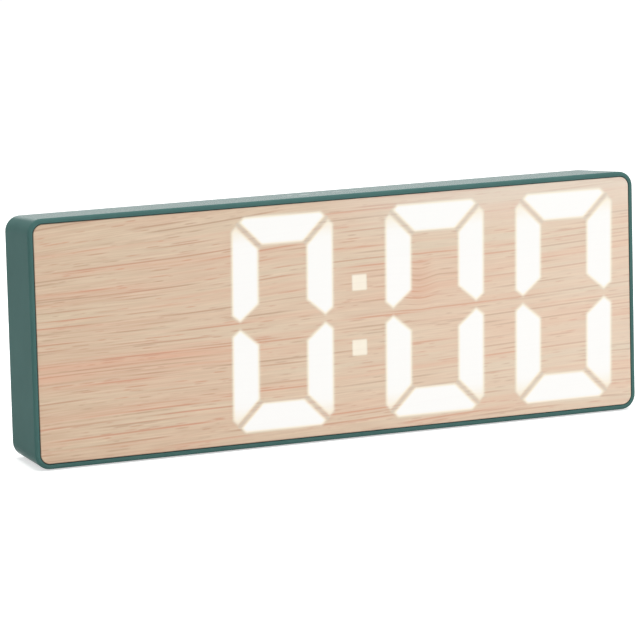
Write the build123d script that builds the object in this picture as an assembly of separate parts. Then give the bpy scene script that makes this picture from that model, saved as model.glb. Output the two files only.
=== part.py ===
from build123d import *
import math
import os

# Digital desk clock: a tapered moulded case with a wood-film front that large digits shine through.
# Millimetres. X runs to the right seen from the front, Y from the front to the back, Z up.
# The origin lies under the middle of the case, on the surface that the clock stands on.
# The case is sized from the inside out: the digits and their margins set its width and height,
# and the stack from the film to the battery door sets its depth.

# Digits
DIGIT_WIDTH = 26.4
DIGIT_HEIGHT = 52.2
STROKE = 6.8
DIGIT_GAP = 8.85
COLON_SPACE = 14.1
SEGMENT_GAP = 1.4
CORNER_CUT = 1.1
POINT_INSET = 2.0
POINT_RISE = 1.0
INNER_SHOULDER_RISE = 5.0
OUTER_SHOULDER_RISE = 2.6
COLON_DOT = 3.8
COLON_RISE = 8.0
DIGIT_SLANT_SHARE = 0.0185

# Margins between the digits and the edge of the front panel
MARGIN_LEFT = 14.75
MARGIN_RIGHT = 5.15
MARGIN_TOP = 2.42
MARGIN_BOTTOM = 2.68

# Case
RIM = 1.15
CASE_WALL = 2.2
BACK_WALL = 1.8
SIDE_TAPER = 1.6
TOP_TAPER = 1.6
CORNER_RADIUS = 3.7
FRONT_EDGE_RADIUS = 0.7
BACK_EDGE_RADIUS = 1.0
OVERRUN = 5.0

# Front stack, from the film to the board
FILM_RECESS = 0.15
FILM_THICKNESS = 0.25
PANEL_THICKNESS = 1.5
PANEL_GAP = 0.2
DIFFUSER_THICKNESS = 0.5
LAND_HEIGHT = 1.4
LAND_GAP = 0.15
REFLECTOR_THICKNESS = 3.0
CUP_MARGIN = 0.2
CUP_DRAFT = 16.0
BOARD_THICKNESS = 1.0
STACK_GAP = 0.4

# Light-emitting diodes
LED_LENGTH = 3.5
LED_WIDTH = 2.8
LED_HEIGHT = 0.8
COLON_LED = 2.0
DIODE_SPREAD_SHARE = 0.28

# Battery cells and their bay
CELL_COUNT = 3
CELL_DIAMETER = 10.5
CELL_LENGTH = 44.5
CELL_NUB_DIAMETER = 3.8
CELL_NUB_LENGTH = 1.0
CELL_GAP = 0.6
CELL_ROOM = 0.2
BAY_WALL = 1.2
BAY_FLOOR = 1.2
BOARD_CLEARANCE = 0.65

# Battery contacts
CONTACT_THICKNESS = 0.4
CONTACT_WIDTH = 8.0
CONTACT_POCKET = 0.8
CONTACT_PLAY = 0.15
LEAF_REACH = 3.6
LEAF_WIDTH = 5.0
BUMP_DIAMETER = 4.0
BUMP_HEIGHT = 0.6
TAIL_WIDTH = 2.0
TAIL_GAP = 0.2

# Battery door
DOOR_THICKNESS = 1.8
DOOR_ROOM = 0.25
DOOR_LEDGE = 1.0
DOOR_TONGUE = 1.2
TONGUE_THICKNESS = 0.8
DOOR_GAP = 0.15
RAIL_WALL = 1.2
RAIL_DEPTH = 1.5
GRIP_COUNT = 5
GRIP_PITCH = 2.2
GRIP_WIDTH = 1.0
GRIP_DEPTH = 0.5
GRIP_LENGTH = 14.0
GRIP_INSET = 6.0

# Screws and bosses
SCREW_DIAMETER = 2.2
SCREW_LENGTH = 8.0
SCREW_HEAD_DIAMETER = 4.0
SCREW_HEAD_HEIGHT = 1.3
SCREW_SLOT_WIDTH = 0.6
SCREW_SLOT_DEPTH = 0.6
SCREW_PLAY = 0.05
SCREW_HOLE_PLAY = 0.2
SCREW_TIP_ROOM = 1.0
SCREW_WALL = 0.6
HEAD_ROOM = 0.3
BOSS_DIAMETER = 5.6
EDGE_BOSS_INSET = 10.0

# Pegs that hold the reflector to the board
PEG_DIAMETER = 2.0
PEG_PLAY = 0.1
PEG_PROUD = 0.3
PEG_RISE_SHARE = 0.28

# Buttons and their switches
SWITCH_PITCH = 12.0
SWITCH_SIZE = 6.0
SWITCH_HEIGHT = 3.5
PLUNGER_DIAMETER = 3.5
PLUNGER_SUNK = 1.1
PLUNGER_PLAY = 0.2
SWITCH_WELL_DEPTH = 1.6
BUTTON_DIAMETER = 6.5
BUTTON_SUNK = 0.2
BUTTON_PLAY = 0.3
BUTTON_BEVEL = 0.4
FLANGE_DIAMETER = 9.0
FLANGE_THICKNESS = 0.8
FLANGE_GAP = 0.15
DISH_DEPTH = 1.2
DISH_MARGIN = 2.6

# Power inlet
INLET_WIDTH = 8.94
INLET_HEIGHT = 3.16
INLET_WALL = 0.3
INLET_PLAY = 0.2
INLET_DEPTH = 6.5
INLET_SUNK = 0.3
TONGUE_PLATE_WIDTH = 6.7
TONGUE_PLATE_HEIGHT = 0.7
TONGUE_PLATE_LENGTH = 4.4
RECESS_MARGIN = 2.2
RECESS_DEPTH = 1.5

# Parts on the back of the board
BUZZER_DIAMETER = 12.0
BUZZER_HEIGHT = 8.5
BUZZER_HOLE = 2.0
BUZZER_HOLE_DEPTH = 2.0
CHIP_SIZE = (18.0, 7.5, 2.3)
DRIVER_SIZE = (10.0, 4.0, 1.5)
LEAD_PITCH = 1.27
LEAD_WIDTH = 0.4
LEAD_REACH = 1.3
LEAD_THICKNESS = 0.25
CHIP_LEAD_COUNT = 14
DRIVER_LEAD_COUNT = 8
CRYSTAL_DIAMETER = 3.0
CRYSTAL_LENGTH = 8.0
CAPACITOR_DIAMETER = 6.3
CAPACITOR_HEIGHT = 7.7
CAPACITOR_BASE = 6.6
CAPACITOR_BASE_HEIGHT = 0.9
CAPACITOR_PITCH = 10.0
RESISTOR_COUNT = 6
RESISTOR_LENGTH = 2.0
RESISTOR_WIDTH = 1.25
RESISTOR_HEIGHT = 0.5
RESISTOR_PITCH = 2.3

# Sound holes in the back wall: one in the middle and a ring round it
SOUND_HOLE = 1.4
SOUND_RING_RADIUS = 3.2
SOUND_RING_COUNT = 4

# Touch strip under the top
TOUCH_LENGTH = 24.0
TOUCH_REACH = 9.0
TOUCH_FOOT = 3.0
TOUCH_THICKNESS = 0.3
TOUCH_GAP = 0.1

# Feet
FOOT_LENGTH = 24.0
FOOT_WIDTH = 12.0
FOOT_THICKNESS = 1.0
FOOT_PROUD = 0.3
FOOT_RADIUS = 2.5
FOOT_GAP = 0.15
FOOT_INSET = 14.0

# Places on the board, as shares of its width and height from its middle
SWITCH_PLACE_SHARES = (-0.32, 0.2)
INLET_PLACE_SHARES = (-0.32, -0.25)
BUZZER_PLACE_SHARES = (-0.02, 0.0)
CHIP_PLACE_SHARES = (-0.125, -0.2)
DRIVER_PLACE_SHARES = (-0.145, 0.21)
CRYSTAL_PLACE_SHARES = (-0.145, -0.03)
CAPACITOR_PLACE_SHARES = (-0.445, -0.06)
RESISTOR_PLACE_SHARES = (-0.3, -0.03)

# Overall size
PAIR_WIDTH = 2 * DIGIT_WIDTH + DIGIT_GAP
DIGITS_WIDTH = 2 * PAIR_WIDTH + COLON_SPACE
WIDTH = MARGIN_LEFT + DIGITS_WIDTH + MARGIN_RIGHT + 2 * (RIM + PANEL_GAP)
HEIGHT = MARGIN_BOTTOM + DIGIT_HEIGHT + MARGIN_TOP + 2 * (RIM + PANEL_GAP)
STACK_DEPTH = (FILM_RECESS + FILM_THICKNESS + PANEL_THICKNESS + DIFFUSER_THICKNESS
               + REFLECTOR_THICKNESS + BOARD_THICKNESS)
BAY_DEPTH = BAY_FLOOR + CELL_ROOM + CELL_DIAMETER + DOOR_ROOM + DOOR_THICKNESS
DEPTH = STACK_DEPTH + BOARD_CLEARANCE + BAY_DEPTH

# Depths of the main faces
FRONT_Y = -DEPTH / 2
BACK_Y = DEPTH / 2
FILM_Y = FRONT_Y + FILM_RECESS
PANEL_Y = FILM_Y + FILM_THICKNESS
DIFFUSER_Y = PANEL_Y + PANEL_THICKNESS
REFLECTOR_Y = DIFFUSER_Y + DIFFUSER_THICKNESS
BOARD_Y = REFLECTOR_Y + REFLECTOR_THICKNESS
BOARD_BACK_Y = BOARD_Y + BOARD_THICKNESS
BACK_WALL_Y = BACK_Y - BACK_WALL
CELL_Y = BACK_Y - DOOR_THICKNESS - DOOR_ROOM - CELL_DIAMETER / 2
BAY_FLOOR_Y = CELL_Y - CELL_DIAMETER / 2 - CELL_ROOM
DOOR_Y = BACK_Y - DOOR_THICKNESS
DOOR_SEAT_Y = DOOR_Y - DOOR_GAP
DISH_Y = BACK_Y - DISH_DEPTH
FLANGE_Y = DISH_Y - BACK_WALL - FLANGE_GAP - FLANGE_THICKNESS
RECESS_Y = BACK_Y - RECESS_DEPTH

# Heights
BASE_Z = FOOT_PROUD
MID_Z = BASE_Z + HEIGHT / 2
DIGIT_Z = BASE_Z + RIM + PANEL_GAP + MARGIN_BOTTOM + DIGIT_HEIGHT / 2

# Middles of the digits and of the colon, from left to right
FIRST_DIGIT_X = RIM + PANEL_GAP + MARGIN_LEFT + DIGIT_WIDTH / 2 - WIDTH / 2
PAIR_PITCH = DIGIT_WIDTH + DIGIT_GAP
PAIR_SPACING = PAIR_WIDTH + COLON_SPACE
PAIR_XS = (FIRST_DIGIT_X, FIRST_DIGIT_X + PAIR_SPACING)
DIGIT_XS = [x + place * PAIR_PITCH for x in PAIR_XS for place in range(2)]
COLON_X = (DIGIT_XS[1] + DIGIT_XS[2]) / 2
LEFT_GAP_X = (DIGIT_XS[0] + DIGIT_XS[1]) / 2
RIGHT_GAP_X = (DIGIT_XS[2] + DIGIT_XS[3]) / 2

# Battery bay
CELL_PITCH = CELL_DIAMETER + CELL_GAP
BAY_HEIGHT = CELL_COUNT * CELL_PITCH + CELL_GAP
BAY_LENGTH = CELL_LENGTH + LEAF_REACH + BUMP_HEIGHT + 2 * (CONTACT_THICKNESS + CONTACT_PLAY)
BAY_RIGHT_X = WIDTH / 2 - SIDE_TAPER - CASE_WALL
BAY_LEFT_X = BAY_RIGHT_X - BAY_LENGTH
DOOR_LEFT_X = BAY_LEFT_X - DOOR_LEDGE
DOOR_HALF = BAY_HEIGHT / 2 + DOOR_LEDGE
CELL_ZS = [MID_Z + (row - (CELL_COUNT - 1) / 2) * CELL_PITCH for row in range(CELL_COUNT)]

# Screw and peg places on the board
SCREW_RISE = BAY_HEIGHT / 2 + BAY_WALL + SCREW_WALL + SCREW_DIAMETER / 2
EDGE_X = EDGE_BOSS_INSET - WIDTH / 2
SCREW_XS = (EDGE_X, LEFT_GAP_X, RIGHT_GAP_X)
SCREW_SPOTS = [(x, MID_Z + side * SCREW_RISE) for x in SCREW_XS for side in (-1, 1)]
PEG_RISE = PEG_RISE_SHARE * HEIGHT
PEG_SPOTS = [(COLON_X, MID_Z - PEG_RISE), (COLON_X, MID_Z + PEG_RISE), (RIGHT_GAP_X, MID_Z)]


def front_plane(y):
    """Sketch plane at depth y: sketch x is X, sketch y is Z, and its normal points to the front."""
    return Plane(origin=(0, y, 0), x_dir=(1, 0, 0), z_dir=(0, -1, 0))


def slab(sketch, y_front, y_back):
    """Prism of a front-view sketch between two depths."""
    return extrude(front_plane(y_back) * sketch, amount=y_back - y_front)


def block(x_low, x_high, y_low, y_high, z_low, z_high):
    """Box between two corners."""
    middle = Pos((x_low + x_high) / 2, (y_low + y_high) / 2, (z_low + z_high) / 2)
    return middle * Box(x_high - x_low, y_high - y_low, z_high - z_low)


def bar(x, z, diameter, y_front, y_back):
    """Round bar along Y."""
    return slab(Pos(x, z) * Circle(diameter / 2), y_front, y_back)


def rod(y, z, diameter, x_low, x_high):
    """Round bar along X."""
    return extrude(Plane.YZ.offset(x_low) * Pos(y, z) * Circle(diameter / 2), amount=x_high - x_low)


def taper_run(y):
    """Share of the case's depth that lies in front of depth y."""
    return (y - FRONT_Y) / DEPTH


def case_section(y, inset):
    """Width and height of the case at depth y, moved in by inset on every side. Its bottom is level."""
    width = WIDTH - 2 * (SIDE_TAPER * taper_run(y) + inset)
    height = HEIGHT - TOP_TAPER * taper_run(y) - 2 * inset
    return width, height


def case_outline(y, inset):
    """Rounded outline of the case at depth y, moved in by inset on every side."""
    width, height = case_section(y, inset)
    return Pos(0, BASE_Z + inset + height / 2) * RectangleRounded(width, height, CORNER_RADIUS - inset)


def tapered_body(y_front, y_back, inset):
    """Body between two depths that follows the case's sides: its top view and its side view in common."""
    front_width, front_height = case_section(y_front, inset)
    back_width, back_height = case_section(y_back, inset)
    base_z = BASE_Z + inset
    top_view = Polyline(
        (-front_width / 2, y_front),
        (front_width / 2, y_front),
        (back_width / 2, y_back),
        (-back_width / 2, y_back),
        close=True,
    )
    side_view = Polyline(
        (y_front, base_z),
        (y_back, base_z),
        (y_back, base_z + back_height),
        (y_front, base_z + front_height),
        close=True,
    )
    upright = extrude(Plane.XY.offset(base_z) * make_face(top_view), amount=front_height)
    across = extrude(Plane.YZ.offset(-front_width / 2) * make_face(side_view), amount=front_width)
    body = upright & across
    faces = body.faces().sort_by(Axis.Y)
    long_edges = body.edges() - faces[0].edges() - faces[-1].edges()
    return fillet(long_edges, CORNER_RADIUS - inset)


def case_blank():
    """Outside of the case, with its rounded front and back edges."""
    blank = tapered_body(FRONT_Y, BACK_Y, 0)
    blank = fillet(blank.faces().sort_by(Axis.Y)[0].edges(), FRONT_EDGE_RADIUS)
    return fillet(blank.faces().sort_by(Axis.Y)[-1].edges(), BACK_EDGE_RADIUS)


def stack_outline():
    """Outline of the sheets that drop into the case behind the panel."""
    return case_outline(BOARD_BACK_Y, CASE_WALL + STACK_GAP)


def board_place(shares):
    """X and Z of a place given as shares of the board's width and height."""
    box = stack_outline().bounding_box()
    return shares[0] * box.size.X, MID_Z + shares[1] * box.size.Y


def flipped(points, flip_x, flip_z):
    """Points mirrored left to right or top to bottom, still in the same turning sense."""
    turned = [(x * flip_x, z * flip_z) for x, z in points]
    return turned if flip_x * flip_z > 0 else turned[::-1]


def slanted(points):
    """Points about a digit's middle, leaned to the right with height."""
    return [(x + DIGIT_SLANT_SHARE * z, z) for x, z in points]


def spread_out(low, high):
    """Places of two diodes on the straight stretch of a segment."""
    step = DIODE_SPREAD_SHARE * (high - low)
    return [(low + high) / 2 - step, (low + high) / 2 + step]


def digit_segments():
    """Outlines of a digit's segments about its middle, each with the places of its two diodes."""
    half_width = DIGIT_WIDTH / 2
    half_height = DIGIT_HEIGHT / 2
    mitre = SEGMENT_GAP / math.sqrt(2)
    inner = half_width - STROKE
    tip = half_width - CORNER_CUT
    level = half_height - STROKE
    top_tip = tip - mitre
    top = [
        (-inner + mitre, level),
        (inner - mitre, level),
        (top_tip, half_height - CORNER_CUT),
        (top_tip - CORNER_CUT, half_height),
        (CORNER_CUT - top_tip, half_height),
        (-top_tip, half_height - CORNER_CUT),
    ]
    point_x = half_width - POINT_INSET
    upper = [
        (half_width, OUTER_SHOULDER_RISE),
        (half_width, half_height - mitre - 2 * CORNER_CUT),
        (tip, half_height - mitre - CORNER_CUT),
        (inner, level - mitre),
        (inner, INNER_SHOULDER_RISE),
        (point_x, POINT_RISE),
    ]
    slope = (INNER_SHOULDER_RISE - POINT_RISE) / (STROKE - POINT_INSET)
    spread = SEGMENT_GAP * math.hypot(1, slope) / slope
    end_x = point_x + POINT_RISE / slope - spread
    shoulder_x = end_x - STROKE / 2 / slope
    middle = [
        (-end_x, 0),
        (-shoulder_x, -STROKE / 2),
        (shoulder_x, -STROKE / 2),
        (end_x, 0),
        (shoulder_x, STROKE / 2),
        (-shoulder_x, STROKE / 2),
    ]
    row = half_height - STROKE / 2
    column = half_width - STROKE / 2
    across = spread_out(mitre - inner, inner - mitre)
    upward = spread_out(INNER_SHOULDER_RISE, level - mitre)
    segments = [(middle, [(x, 0) for x in across], True)]
    for side in (-1, 1):
        segments.append((flipped(top, 1, side), [(x, side * row) for x in across], True))
        for end in (-1, 1):
            diodes = [(side * column, end * z) for z in upward]
            segments.append((flipped(upper, side, end), diodes, False))
    return [(slanted(points), slanted(diodes), lies_flat) for points, diodes, lies_flat in segments]


def colon_places():
    """X and Z of the two colon dots."""
    dots = slanted([(0, -COLON_RISE), (0, COLON_RISE)])
    return [(COLON_X + x, DIGIT_Z + z) for x, z in dots]


def window_outlines(margin):
    """Outlines of all the segments and colon dots on the face, each grown by margin."""
    outlines = []
    for digit_x in DIGIT_XS:
        for points, diodes, lies_flat in digit_segments():
            outline = make_face(Polyline(*points, close=True))
            outlines.append(Pos(digit_x, DIGIT_Z) * grown(outline, margin))
    for x, z in colon_places():
        outlines.append(Pos(x, z) * grown(Rectangle(COLON_DOT, COLON_DOT), margin))
    return outlines


def grown(outline, margin):
    """Outline with its edges moved out by margin and its corners kept sharp."""
    return offset(outline, margin, kind=Kind.INTERSECTION) if margin else outline


def wood_film(panel_outline):
    """Printed film over the whole front panel."""
    return slab(panel_outline, FILM_Y, PANEL_Y)


def front_panel(panel_outline):
    """Stiff panel under the film, with a window for each segment and colon dot."""
    windows = [slab(w, PANEL_Y - OVERRUN, DIFFUSER_Y + OVERRUN) for w in window_outlines(0)]
    return slab(panel_outline, PANEL_Y, DIFFUSER_Y) - windows


def diffuser():
    """Milky sheet with a raised land that fills each window."""
    lands = [slab(w, DIFFUSER_Y - LAND_HEIGHT, REFLECTOR_Y) for w in window_outlines(-LAND_GAP)]
    return slab(stack_outline(), DIFFUSER_Y, REFLECTOR_Y) + lands


def reflector():
    """Light box with a drafted cup behind each window, screw clearances, and pegs through the board."""
    body = slab(stack_outline(), REFLECTOR_Y, BOARD_Y)
    pegs = [bar(x, z, PEG_DIAMETER, BOARD_Y - PEG_PROUD, BOARD_BACK_Y + PEG_PROUD) for x, z in PEG_SPOTS]
    mouth = front_plane(REFLECTOR_Y)
    cups = [
        extrude(mouth * w, amount=-REFLECTOR_THICKNESS, taper=CUP_DRAFT)
        for w in window_outlines(CUP_MARGIN)
    ]
    side = SCREW_HEAD_DIAMETER + 2 * HEAD_ROOM
    heads = [
        slab(Pos(x, z) * Rectangle(side, side), REFLECTOR_Y - OVERRUN, BOARD_Y + OVERRUN)
        for x, z in SCREW_SPOTS
    ]
    return body + pegs - cups - heads


def main_board():
    """Printed circuit board with its screw and peg holes."""
    sizes = [(spot, SCREW_DIAMETER + 2 * SCREW_HOLE_PLAY) for spot in SCREW_SPOTS]
    sizes += [(spot, PEG_DIAMETER + 2 * PEG_PLAY) for spot in PEG_SPOTS]
    holes = [bar(x, z, size, BOARD_Y - OVERRUN, BOARD_BACK_Y + OVERRUN) for (x, z), size in sizes]
    return slab(stack_outline(), BOARD_Y, BOARD_BACK_Y) - holes


def board_screws():
    """Pan-head screws that clamp the board to the case's bosses."""
    screws = []
    for x, z in SCREW_SPOTS:
        head = bar(x, z, SCREW_HEAD_DIAMETER, BOARD_Y - SCREW_HEAD_HEIGHT, BOARD_Y)
        slot = slab(
            Pos(x, z) * Rectangle(SCREW_HEAD_DIAMETER, SCREW_SLOT_WIDTH),
            BOARD_Y - SCREW_HEAD_HEIGHT - OVERRUN,
            BOARD_Y - SCREW_HEAD_HEIGHT + SCREW_SLOT_DEPTH,
        )
        shank = bar(x, z, SCREW_DIAMETER, BOARD_Y, BOARD_Y + SCREW_LENGTH)
        screws.append(head + shank - slot)
    return screws


def segment_leds():
    """Two diodes on the board behind each segment."""
    diodes = []
    for digit_x in DIGIT_XS:
        for points, places, lies_flat in digit_segments():
            width, height = (LED_LENGTH, LED_WIDTH) if lies_flat else (LED_WIDTH, LED_LENGTH)
            for x, z in places:
                outline = Pos(digit_x + x, DIGIT_Z + z) * Rectangle(width, height)
                diodes.append(slab(outline, BOARD_Y - LED_HEIGHT, BOARD_Y))
    return diodes


def colon_leds():
    """One diode on the board behind each colon dot."""
    outline = Rectangle(COLON_LED, COLON_LED)
    return [slab(Pos(x, z) * outline, BOARD_Y - LED_HEIGHT, BOARD_Y) for x, z in colon_places()]


def door_section(gap, x_left, x_right):
    """Flat door with a tongue along its long edges and its inner end, grown by gap on every side."""
    half = DOOR_HALF + gap
    plate = block(x_left - gap, x_right, DOOR_Y - gap, BACK_Y + OVERRUN, MID_Z - half, MID_Z + half)
    reach = half + DOOR_TONGUE
    tongue_y = DOOR_Y + TONGUE_THICKNESS + gap
    tongue = block(x_left - DOOR_TONGUE - gap, x_right, DOOR_Y - gap, tongue_y, MID_Z - reach, MID_Z + reach)
    return plate + tongue


def battery_door(blank):
    """Door that slides to the right out of the case, with a ribbed thumb grip."""
    door = door_section(0, DOOR_LEFT_X, WIDTH / 2 + OVERRUN) & blank
    grip_x = BAY_RIGHT_X - GRIP_INSET
    grooves = [
        block(
            grip_x - step * GRIP_PITCH - GRIP_WIDTH, grip_x - step * GRIP_PITCH,
            BACK_Y - GRIP_DEPTH, BACK_Y + OVERRUN,
            MID_Z - GRIP_LENGTH / 2, MID_Z + GRIP_LENGTH / 2,
        )
        for step in range(GRIP_COUNT)
    ]
    return door - grooves


def bay_walls(blank):
    """Solid block of the battery bay and of the door's rails, before it is hollowed."""
    half = BAY_HEIGHT / 2 + BAY_WALL
    walls = block(
        BAY_LEFT_X - BAY_WALL, WIDTH / 2, BAY_FLOOR_Y - BAY_FLOOR, BACK_Y, MID_Z - half, MID_Z + half
    )
    rail_edge = DOOR_TONGUE + DOOR_GAP + RAIL_WALL
    rail_half = DOOR_HALF + rail_edge
    rails = block(
        DOOR_LEFT_X - rail_edge, WIDTH / 2, DOOR_SEAT_Y - RAIL_DEPTH, BACK_Y,
        MID_Z - rail_half, MID_Z + rail_half,
    )
    return (walls + rails) & blank


def bay_hollow():
    """Room for the cells, with a scalloped floor and a plain pocket for the contacts at each end."""
    half = BAY_HEIGHT / 2
    upper = block(BAY_LEFT_X, BAY_RIGHT_X, CELL_Y, DOOR_SEAT_Y + DOOR_GAP, MID_Z - half, MID_Z + half)
    cradles = [rod(CELL_Y, z, CELL_DIAMETER + 2 * CELL_ROOM, BAY_LEFT_X, BAY_RIGHT_X) for z in CELL_ZS]
    ends = [
        block(x, x + CONTACT_POCKET, BAY_FLOOR_Y, CELL_Y, MID_Z - half, MID_Z + half)
        for x in (BAY_LEFT_X, BAY_RIGHT_X - CONTACT_POCKET)
    ]
    tail_half = TAIL_WIDTH / 2 + TAIL_GAP
    slots = [
        block(x, x + CONTACT_POCKET, BAY_FLOOR_Y - BAY_FLOOR - OVERRUN, CELL_Y, z - tail_half, z + tail_half)
        for x, z in ((BAY_LEFT_X, CELL_ZS[0]), (BAY_RIGHT_X - CONTACT_POCKET, CELL_ZS[-1]))
    ]
    return [upper] + cradles + ends + slots


def button_places():
    """X and Z of the three buttons, from left to right."""
    x, z = board_place(SWITCH_PLACE_SHARES)
    return [(x + step * SWITCH_PITCH, z) for step in (-1, 0, 1)]


def button_dish(inset):
    """Outline of the shallow dish that the buttons sit in."""
    x, z = board_place(SWITCH_PLACE_SHARES)
    width = 2 * SWITCH_PITCH + BUTTON_DIAMETER + 2 * (DISH_MARGIN + inset)
    return Pos(x, z) * SlotOverall(width, BUTTON_DIAMETER + 2 * (DISH_MARGIN + inset))


def inlet_recess(inset):
    """Outline of the recess round the power inlet."""
    x, z = board_place(INLET_PLACE_SHARES)
    margin = 2 * (RECESS_MARGIN + inset)
    return Pos(x, z) * SlotOverall(INLET_WIDTH + margin, INLET_HEIGHT + margin)


def inlet_slot(play):
    """Outline of the power inlet's metal shell, grown by play."""
    x, z = board_place(INLET_PLACE_SHARES)
    return Pos(x, z) * SlotOverall(INLET_WIDTH + 2 * play, INLET_HEIGHT + 2 * play)


def sound_holes():
    """Holes in the back wall behind the buzzer."""
    x, z = board_place(BUZZER_PLACE_SHARES)
    turns = [math.tau * step / SOUND_RING_COUNT for step in range(SOUND_RING_COUNT)]
    spots = [(x + SOUND_RING_RADIUS * math.cos(t), z + SOUND_RING_RADIUS * math.sin(t)) for t in turns]
    return [bar(hx, hz, SOUND_HOLE, BACK_WALL_Y - OVERRUN, BACK_Y + OVERRUN) for hx, hz in [(x, z)] + spots]


def foot_outline(side, gap):
    """Rounded outline of a foot seen from below, grown by gap."""
    x = side * (WIDTH / 2 - FOOT_INSET - FOOT_LENGTH / 2)
    outline = RectangleRounded(FOOT_LENGTH + 2 * gap, FOOT_WIDTH + 2 * gap, FOOT_RADIUS + gap)
    return Pos(x, 0) * outline


def foot(side):
    """Rubber pad, mostly sunk in its pocket in the bottom of the case."""
    return extrude(foot_outline(side, 0), amount=FOOT_THICKNESS)


def case_shell(blank):
    """One moulding: tapered sides, back wall, battery bay, bosses, button dish and inlet recess."""
    pocket = slab(case_outline(FRONT_Y, RIM), FRONT_Y - OVERRUN, DIFFUSER_Y)
    cavity = tapered_body(DIFFUSER_Y, BACK_WALL_Y, CASE_WALL)
    shell = blank - pocket - cavity
    added = [bay_walls(blank)]
    added += [bar(x, z, BOSS_DIAMETER, BOARD_BACK_Y, BACK_WALL_Y) for x, z in SCREW_SPOTS]
    added.append(slab(button_dish(BACK_WALL), DISH_Y - BACK_WALL, BACK_WALL_Y))
    added.append(slab(inlet_recess(BACK_WALL), RECESS_Y - BACK_WALL, BACK_WALL_Y))
    shell = shell + added
    bore = SCREW_DIAMETER + 2 * SCREW_PLAY
    bore_end = BOARD_Y + SCREW_LENGTH + SCREW_TIP_ROOM
    cuts = [bar(x, z, bore, BOARD_BACK_Y - OVERRUN, bore_end) for x, z in SCREW_SPOTS]
    cuts += bay_hollow()
    cuts.append(door_section(DOOR_GAP, DOOR_LEFT_X, WIDTH / 2 + OVERRUN))
    cuts.append(slab(button_dish(0), DISH_Y, BACK_Y + OVERRUN))
    hole = BUTTON_DIAMETER + 2 * BUTTON_PLAY
    cuts += [bar(x, z, hole, DISH_Y - BACK_WALL - OVERRUN, BACK_Y) for x, z in button_places()]
    cuts.append(slab(inlet_recess(0), RECESS_Y, BACK_Y + OVERRUN))
    cuts.append(slab(inlet_slot(INLET_PLAY), RECESS_Y - BACK_WALL - OVERRUN, BACK_Y))
    cuts += sound_holes()
    cuts += [extrude(foot_outline(side, FOOT_GAP), amount=FOOT_THICKNESS) for side in (-1, 1)]
    return shell - cuts


def switch_bodies():
    """Square switch bodies on the board, each with a well for its plunger."""
    bodies = []
    top = BOARD_BACK_Y + SWITCH_HEIGHT
    for x, z in button_places():
        body = slab(Pos(x, z) * Rectangle(SWITCH_SIZE, SWITCH_SIZE), BOARD_BACK_Y, top)
        well = bar(x, z, PLUNGER_DIAMETER + 2 * PLUNGER_PLAY, top - SWITCH_WELL_DEPTH, top + OVERRUN)
        bodies.append(body - well)
    return bodies


def plunger(place):
    """Long plunger of one switch, from its well to the button's flange."""
    well_y = BOARD_BACK_Y + SWITCH_HEIGHT - PLUNGER_SUNK
    return bar(*place, PLUNGER_DIAMETER, well_y, FLANGE_Y)


def button(place):
    """Button cap with a bevelled top and a flange that keeps it inside the wall."""
    cap = bar(*place, BUTTON_DIAMETER, FLANGE_Y, BACK_Y - BUTTON_SUNK)
    cap = chamfer(cap.faces().sort_by(Axis.Y)[-1].edges(), BUTTON_BEVEL)
    return cap + bar(*place, FLANGE_DIAMETER, FLANGE_Y, FLANGE_Y + FLANGE_THICKNESS)


def usb_shell():
    """Metal shell of the upright power inlet, open at its mouth."""
    mouth_y = RECESS_Y - INLET_SUNK
    shell = slab(inlet_slot(0), BOARD_BACK_Y, mouth_y)
    return shell - slab(inlet_slot(-INLET_WALL), BOARD_BACK_Y - OVERRUN, mouth_y + OVERRUN)


def usb_insert():
    """Moulded block in the inlet's shell, with the contact tongue standing in its mouth."""
    mouth_y = RECESS_Y - INLET_SUNK
    floor_y = mouth_y - INLET_DEPTH
    x, z = board_place(INLET_PLACE_SHARES)
    body = slab(inlet_slot(-INLET_WALL), BOARD_BACK_Y, floor_y)
    tongue = Pos(x, z) * Rectangle(TONGUE_PLATE_WIDTH, TONGUE_PLATE_HEIGHT)
    return body + slab(tongue, floor_y - INLET_WALL, floor_y + TONGUE_PLATE_LENGTH)


def flat_chip(shares, size, leads):
    """Flat package with a row of leads along each long side. Its size is length, width and height."""
    x, z = board_place(shares)
    length, width, height = size
    body = slab(Pos(x, z) * Rectangle(length, width), BOARD_BACK_Y + LEAD_THICKNESS, BOARD_BACK_Y + height)
    first = x - (leads - 1) / 2 * LEAD_PITCH
    spots = [Pos(first + step * LEAD_PITCH, z) for step in range(leads)]
    strip = Rectangle(LEAD_WIDTH, width + 2 * LEAD_REACH)
    feet = [slab(spot * strip, BOARD_BACK_Y, BOARD_BACK_Y + 2 * LEAD_THICKNESS) for spot in spots]
    return body + feet


def crystal():
    """Timekeeping crystal in a round can that lies on the board."""
    x, z = board_place(CRYSTAL_PLACE_SHARES)
    y = BOARD_BACK_Y + CRYSTAL_DIAMETER / 2
    return rod(y, z, CRYSTAL_DIAMETER, x - CRYSTAL_LENGTH / 2, x + CRYSTAL_LENGTH / 2)


def capacitors():
    """Upright capacitor cans on square bases."""
    x, z = board_place(CAPACITOR_PLACE_SHARES)
    cans = []
    for side in (-1, 1):
        place = (x, z + side * CAPACITOR_PITCH / 2)
        base = slab(Pos(*place) * Rectangle(CAPACITOR_BASE, CAPACITOR_BASE),
                    BOARD_BACK_Y, BOARD_BACK_Y + CAPACITOR_BASE_HEIGHT)
        cans.append(base + bar(*place, CAPACITOR_DIAMETER, BOARD_BACK_Y, BOARD_BACK_Y + CAPACITOR_HEIGHT))
    return cans


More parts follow.
